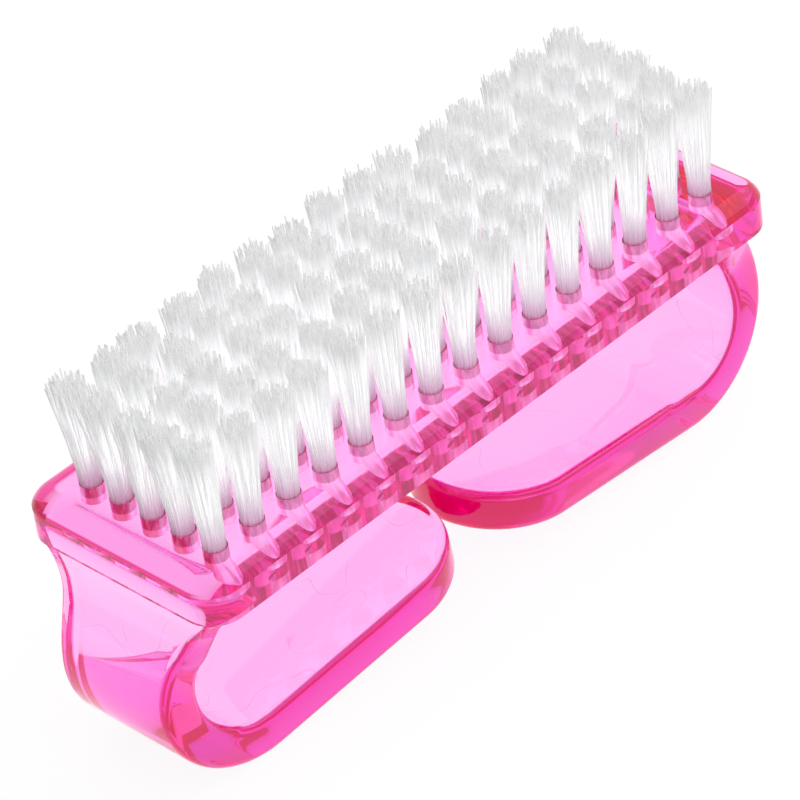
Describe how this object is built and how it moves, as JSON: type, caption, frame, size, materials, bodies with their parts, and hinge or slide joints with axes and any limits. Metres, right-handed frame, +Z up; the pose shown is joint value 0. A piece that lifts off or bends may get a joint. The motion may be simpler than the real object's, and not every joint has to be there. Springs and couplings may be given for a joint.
{
  "type": "nail brush",
  "caption": "Clear pink nail brush: a flat rectangular head of bristle tufts standing on two open finger loops whose round-ended tongues nearly meet in the middle.",
  "frame": {"origin": "on the surface that the brush stands on, under the middle of the head", "axes": "+Z up through the bristles, X along the head, Y across it"},
  "size_m": [0.093, 0.0288, 0.0434],
  "materials": {
    "clear_plastic": "clear pink polished moulding",
    "bristle": "white nylon filaments",
    "anchor_metal": "plain wire"
  },
  "bodies": {
    "root": {"handle": "clear_plastic", "tufts_01": "bristle", "tufts_02": "bristle", "tufts_03": "bristle", "tufts_04": "bristle", "tufts_05": "bristle", "tufts_06": "bristle", "tufts_07": "bristle", "tufts_08": "bristle", "tufts_09": "bristle", "tufts_10": "bristle", "tufts_11": "bristle", "tufts_12": "bristle", "tufts_13": "bristle", "tufts_14": "bristle", "tufts_15": "bristle", "anchors_01": "anchor_metal", "anchors_02": "anchor_metal", "anchors_03": "anchor_metal", "anchors_04": "anchor_metal", "anchors_05": "anchor_metal", "anchors_06": "anchor_metal", "anchors_07": "anchor_metal", "anchors_08": "anchor_metal", "anchors_09": "anchor_metal", "anchors_10": "anchor_metal", "anchors_11": "anchor_metal", "anchors_12": "anchor_metal", "anchors_13": "anchor_metal", "anchors_14": "anchor_metal", "anchors_15": "anchor_metal"}
  },
  "joints": []
}
